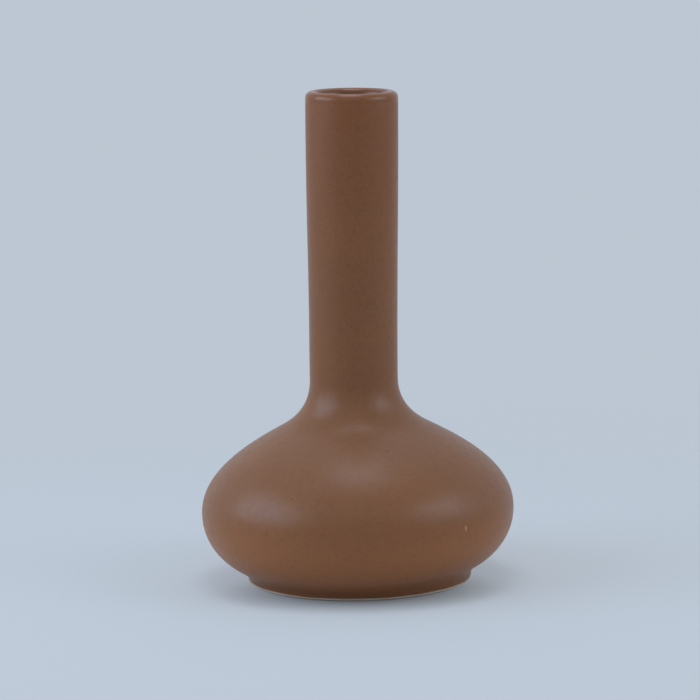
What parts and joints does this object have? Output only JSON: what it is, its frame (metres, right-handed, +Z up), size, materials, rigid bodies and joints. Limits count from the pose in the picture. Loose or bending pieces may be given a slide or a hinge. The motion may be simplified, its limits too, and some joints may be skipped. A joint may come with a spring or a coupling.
{
  "type": "bottle vase",
  "caption": "Bottle vase with a squat round belly, a swept shoulder and a tall straight neck that holds a flower stem; satin brown glaze stops above a bare clay foot ring.",
  "frame": {"origin": "centre of the foot ring's standing face, on the table", "axes": "+Z up through the neck, -Y the front that faces the camera, +X to the right of that front view"},
  "size_m": [0.102, 0.102, 0.1602],
  "materials": {
    "bare_clay": "fired, unglazed, dry and fine-grained",
    "joint_slip": "fired luting slip, unglazed",
    "brown_glaze": "satin brown glaze with fine dark specks",
    "liner_glaze": "poured liner glaze, a little glossier than the outside"
  },
  "bodies": {
    "root": {"foot_ring": "bare_clay", "foot_slip_joint": "joint_slip", "body": "bare_clay", "neck_slip_joint": "joint_slip", "neck": "bare_clay", "outer_glaze": "brown_glaze", "liner_glaze": "liner_glaze"}
  },
  "joints": []
}
